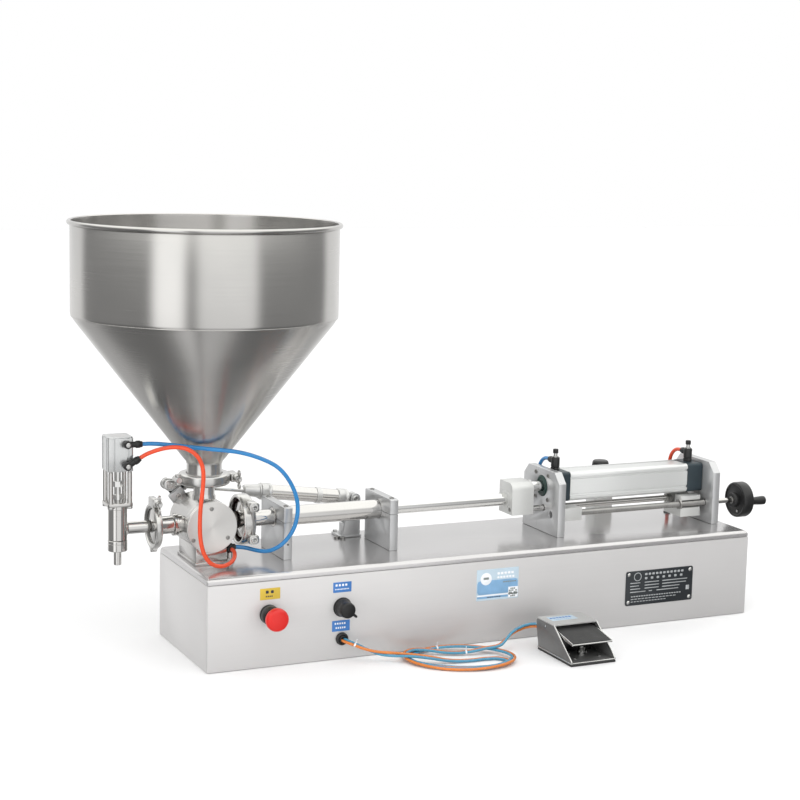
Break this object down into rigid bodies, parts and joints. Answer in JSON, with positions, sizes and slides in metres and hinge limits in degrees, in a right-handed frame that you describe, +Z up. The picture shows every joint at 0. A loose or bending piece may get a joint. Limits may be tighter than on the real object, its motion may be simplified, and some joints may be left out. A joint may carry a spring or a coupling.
{
  "type": "piston liquid filler",
  "caption": "Bench-top pneumatic piston filler: steel cabinet, conical hopper, rotary valve, metering cylinder, nozzle, air cylinder with stroke handwheel and foot pedal.",
  "frame": {"origin": "centre of the cabinet's underside", "axes": "+X along the cabinet from the nozzle end to the handwheel end, +Y from the front panel to the back, +Z up"},
  "size_m": [1.1315, 0.4595, 0.617],
  "materials": {
    "cabinet_steel": "satin sheet",
    "polished_steel": "polished",
    "chrome": "ground and plated",
    "cast_steel": "investment cast, satin",
    "aluminium": "milled and anodised",
    "dark_cap": "matt die casting",
    "black_plastic": "moulded",
    "red_plastic": "moulded",
    "black_rubber": "moulded",
    "pedal_paint": "satin",
    "blue_hose": "extruded",
    "orange_hose": "extruded",
    "twin_hose": "extruded"
  },
  "bodies": {
    "machine": {"cabinet_body": "cabinet_steel", "cabinet_lid": "cabinet_steel", "actuator_bracket": "cabinet_steel", "hopper": "polished_steel", "valve_body": "polished_steel", "valve_cover": "polished_steel", "outlet_pipe": "polished_steel", "nozzle_barrel": "polished_steel", "nozzle_tip": "polished_steel", "metering_cylinder": "polished_steel", "hopper_clamp": "cast_steel", "cylinder_clamp": "cast_steel", "nozzle_clamp": "cast_steel", "left_support_lower": "aluminium", "left_support_cap": "aluminium", "right_support_lower": "aluminium", "right_support_cap": "aluminium", "front_plate": "aluminium", "rear_plate": "aluminium", "air_profile": "aluminium", "nozzle_air_cylinder": "aluminium", "control_valve_block": "aluminium", "air_front_cap": "dark_cap", "air_rear_cap": "dark_cap", "estop_collar": "black_plastic", "nozzle_elbow_upper": "black_plastic", "nozzle_elbow_lower": "black_plastic", "front_speed_valve": "black_plastic", "rear_speed_valve": "black_plastic", "regulator_body": "black_plastic", "hose_outlet_block": "black_plastic", "hose_grommet": "black_rubber", "pedal_housing": "pedal_paint", "nozzle_hose_blue": "blue_hose", "cylinder_hose_blue": "blue_hose", "nozzle_hose_orange": "orange_hose", "cylinder_hose_orange": "orange_hose", "pedal_hoses_lead": "twin_hose", "pedal_hoses_tail": "twin_hose", "pedal_hoses_coil": "twin_hose"},
    "piston": {"piston_rod": "chrome", "coupling_block": "aluminium", "air_rod": "chrome"},
    "adjuster": {"adjusting_screw": "cast_steel", "handwheel": "black_plastic"},
    "grip": {"crank_grip": "black_plastic"},
    "stop": {"stop_carriage": "aluminium"},
    "valve": {"valve_spool": "chrome", "crank_lever": "cast_steel"},
    "actuator": {"actuator_barrel": "aluminium"},
    "actuator_plunger": {"actuator_rod": "chrome"},
    "needle": {"nozzle_needle": "chrome"},
    "hopper_nut": {"hopper_wing_nut": "cast_steel"},
    "nozzle_nut": {"nozzle_wing_nut": "cast_steel"},
    "estop": {"estop_head": "red_plastic"},
    "dial": {"dial_knob": "black_plastic"},
    "regulator_dial": {"regulator_knob": "black_plastic"},
    "front_speed_screw": {"front_speed_valve_knob": "black_plastic"},
    "rear_speed_screw": {"rear_speed_valve_knob": "black_plastic"},
    "tread": {"pedal_tread": "pedal_paint"}
  },
  "joints": [
    {"name": "piston_slide", "type": "slide", "parent": "machine", "child": "piston", "axis": [-1, 0, 0], "range_m": [0, 0.13]},
    {"name": "handwheel_spin", "type": "hinge", "parent": "machine", "child": "adjuster", "pos_m": [0.4785, -0.024, 0.165], "axis": [1, 0, 0], "range_deg": [0, 7200]},
    {"name": "grip_spin", "type": "hinge", "parent": "adjuster", "child": "grip", "pos_m": [0.4985, -0.0425, 0.165], "axis": [1, 0, 0], "continuous": true},
    {"name": "stop_slide", "type": "slide", "parent": "machine", "child": "stop", "axis": [-1, 0, 0], "range_m": [0, 0.1001]},
    {"name": "valve_turn", "type": "hinge", "parent": "machine", "child": "valve", "pos_m": [-0.416, 0.072, 0.188], "axis": [0, 1, 0], "range_deg": [0, 90]},
    {"name": "actuator_swing", "type": "hinge", "parent": "machine", "child": "actuator", "pos_m": [-0.1546, 0.072, 0.1928], "axis": [0, 1, 0], "range_deg": [-1, 5]},
    {"name": "actuator_stroke", "type": "slide", "parent": "actuator", "child": "actuator_plunger", "axis": [0.991, 0, -0.1336], "range_m": [0, 0.0785]},
    {"name": "needle_lift", "type": "slide", "parent": "machine", "child": "needle", "axis": [0, 0, 1], "range_m": [0, 0.015]},
    {"name": "hopper_nut_turn", "type": "hinge", "parent": "machine", "child": "hopper_nut", "pos_m": [-0.3735, -0.0082, 0.2525], "axis": [0, 1, 0], "range_deg": [0, 1080]},
    {"name": "nozzle_nut_turn", "type": "hinge", "parent": "machine", "child": "nozzle_nut", "pos_m": [-0.4907, -0.0067, 0.2235], "axis": [0, 1, 0], "range_deg": [0, 1080]},
    {"name": "estop_push", "type": "slide", "parent": "machine", "child": "estop", "axis": [0, 1, 0], "range_m": [0, 0.004]},
    {"name": "dial_turn", "type": "hinge", "parent": "machine", "child": "dial", "pos_m": [-0.2475, -0.106, 0.076], "axis": [0, -1, 0], "range_deg": [0, 270]},
    {"name": "regulator_turn", "type": "hinge", "parent": "machine", "child": "regulator_dial", "pos_m": [0.316, 0.1275, 0.1805], "axis": [0, 0, 1], "range_deg": [-720, 720]},
    {"name": "front_speed_turn", "type": "hinge", "parent": "machine", "child": "front_speed_screw", "pos_m": [0.1585, 0.006, 0.248], "axis": [0, 0, 1], "range_deg": [0, 1440]},
    {"name": "rear_speed_turn", "type": "hinge", "parent": "machine", "child": "rear_speed_screw", "pos_m": [0.4045, 0.006, 0.248], "axis": [0, 0, 1], "range_deg": [0, 1440]},
    {"name": "tread_press", "type": "hinge", "parent": "machine", "child": "tread", "pos_m": [0.0781, -0.182, 0.039], "axis": [1, 0, 0], "range_deg": [0, 10], "stiffness_Nm_per_rad": 0.6, "springref_deg": -20.05}
  ],
  "couplings": [
    {"joint": "stop_slide", "follows": "handwheel_spin", "m_per_rad": 0.00079577},
    {"joint": "actuator_swing", "follows": "valve_turn", "ratio": -0.003},
    {"joint": "actuator_stroke", "follows": "valve_turn", "m_per_rad": 0.049911}
  ]
}
